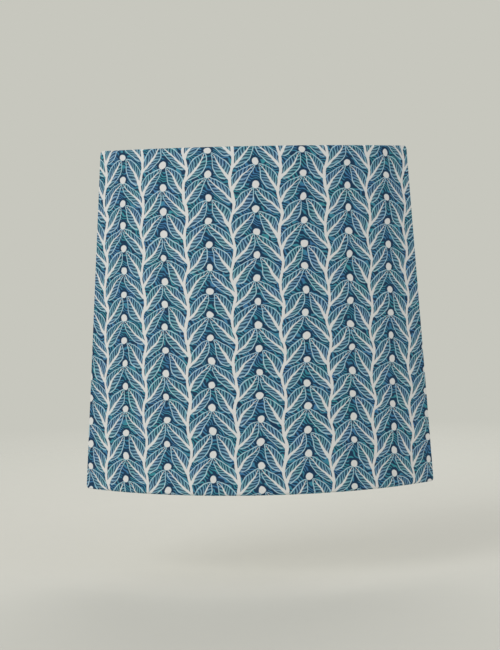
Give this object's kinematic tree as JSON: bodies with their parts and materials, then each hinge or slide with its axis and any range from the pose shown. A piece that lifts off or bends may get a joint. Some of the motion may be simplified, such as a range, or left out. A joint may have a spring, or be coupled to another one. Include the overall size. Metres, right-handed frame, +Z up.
{
  "type": "corner wall light",
  "caption": "Corner wall light: a quarter-cone shade of printed paper hangs on hooks of a folded corner plate, over an arm with a lampholder and an opal bulb.",
  "frame": {"origin": "on the corner line where the two wall planes meet, midway between the upper and lower wall screws", "axes": "+Z up along the corner line, -Y out of the corner towards the front of the shade, +X to the right seen from the front; each wall runs at 45 degrees to -Y"},
  "size_m": [0.2836, 0.2002, 0.2751],
  "materials": {
    "printed_paper": "hand block print in off-white on two blues, matt",
    "white_liner": "smooth matt white backing",
    "white_wire": "white dipped steel wire",
    "white_steel": "white powder coat, fine texture",
    "black_rubber": "matt",
    "natural_nylon": "moulded, slightly translucent",
    "brass": "plain drawn brass",
    "zinc_steel": "bright zinc plate",
    "satin_steel": "satin nickel plate",
    "white_phenolic": "moulded, half gloss",
    "opal": "opal diffuser",
    "nickel": "nickel plate",
    "black_glass": "black insulating glass",
    "solder": "dull solder",
    "board": "white solder mask with yellow chips"
  },
  "bodies": {
    "wall_unit": {"corner_backplate": "white_steel", "cable_grommet": "black_rubber", "terminal_block": "natural_nylon", "terminal_tubes": "brass", "terminal_clamp_screws": "zinc_steel", "terminal_fixing_screw": "zinc_steel", "earth_stud": "zinc_steel", "earth_washer": "zinc_steel", "earth_nut": "zinc_steel", "corner_cover": "white_steel", "cover_screws": "satin_steel", "lamp_arm": "satin_steel", "arm_collar": "satin_steel", "arm_washer": "zinc_steel", "arm_nut": "zinc_steel", "lampholder_cap": "white_phenolic", "lampholder_grub_screw": "zinc_steel", "lampholder_insert": "white_phenolic", "lampholder_skirt": "white_phenolic", "lampholder_thread_shell": "brass", "lampholder_contact": "brass"},
    "shade": {"shade_paper": "printed_paper", "shade_liner": "white_liner", "shade_top_wire": "white_wire", "shade_bottom_wire": "white_wire", "shade_left_stay": "white_wire", "shade_right_stay": "white_wire"},
    "bulb_foot": {"bulb_contact": "solder", "bulb_insulator": "black_glass"},
    "bulb": {"bulb_cap": "nickel", "bulb_collar": "white_phenolic", "bulb_led_board": "board", "bulb_globe": "opal"}
  },
  "joints": [
    {"name": "shade_lift", "type": "slide", "parent": "wall_unit", "child": "shade", "axis": [0, 0, 1], "range_m": [0, 0.285]},
    {"name": "bulb_rise", "type": "slide", "parent": "wall_unit", "child": "bulb_foot", "axis": [0, 0, 1], "range_m": [0, 0.00988]},
    {"name": "bulb_turn", "type": "hinge", "parent": "bulb_foot", "child": "bulb", "pos_m": [0, -0.1, 0], "axis": [0, 0, 1], "range_deg": [0, 1260]}
  ],
  "couplings": [
    {"joint": "bulb_rise", "follows": "bulb_turn", "m_per_rad": 0.00044914}
  ]
}
